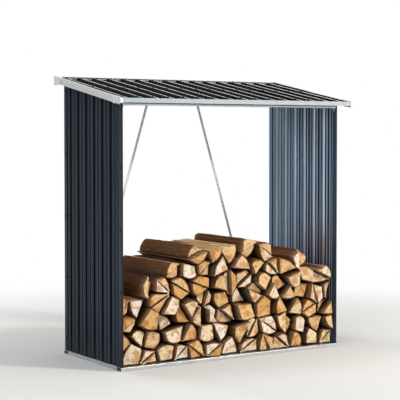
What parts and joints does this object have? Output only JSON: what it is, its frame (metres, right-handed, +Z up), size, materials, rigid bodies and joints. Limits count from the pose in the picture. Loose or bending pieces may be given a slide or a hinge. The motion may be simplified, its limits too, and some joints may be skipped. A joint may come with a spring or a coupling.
{
  "type": "log store",
  "caption": "Open-fronted log store of ribbed sheet steel with a sloping roof, diagonal bracing bars and a stack of split firewood.",
  "frame": {"origin": "on the ground, at the middle of the overall plan", "axes": "+Z up, the open front faces -Y, +X to the right as seen from the front, and the roof rises towards +Y"},
  "size_m": [1.5126, 0.7546, 1.5456],
  "materials": {
    "anthracite_sheet": "dark anthracite baked paint on ribbed sheet steel, satin",
    "roof_sheet": "near-black baked paint on ribbed sheet steel, satin",
    "galvanised_frame": "bright galvanised steel, faint spangle",
    "pale_trim": "pale silver-grey coated steel",
    "corner_cap": "off-white moulded plastic",
    "split_log": "split hardwood, pale cut ends and brown bark"
  },
  "bodies": {
    "root": {"brace_left": "galvanised_frame", "brace_right": "galvanised_frame", "cap_back_left": "corner_cap", "cap_back_right": "corner_cap", "cap_front_left": "corner_cap", "cap_front_right": "corner_cap", "fascia_back": "pale_trim", "fascia_front": "pale_trim", "header_back": "galvanised_frame", "header_brackets": "galvanised_frame", "header_front": "galvanised_frame", "log_course_1": "split_log", "log_course_2": "split_log", "log_course_3": "split_log", "log_course_4": "split_log", "log_course_5": "split_log", "log_course_6": "split_log", "log_course_7": "split_log", "post_back_left": "anthracite_sheet", "post_back_right": "anthracite_sheet", "post_front_left": "anthracite_sheet", "post_front_right": "anthracite_sheet", "rail_left": "galvanised_frame", "rail_right": "galvanised_frame", "roof_sheet_1": "roof_sheet", "roof_sheet_2": "roof_sheet", "roof_sheet_3": "roof_sheet", "roof_sheet_4": "roof_sheet", "sill_back": "galvanised_frame", "sill_front": "galvanised_frame", "sill_left": "galvanised_frame", "sill_right": "galvanised_frame", "trim_left_back": "pale_trim", "trim_left_front": "pale_trim", "trim_right_back": "pale_trim", "trim_right_front": "pale_trim", "wall_left_back": "anthracite_sheet", "wall_left_front": "anthracite_sheet", "wall_right_back": "anthracite_sheet", "wall_right_front": "anthracite_sheet"}
  },
  "joints": []
}
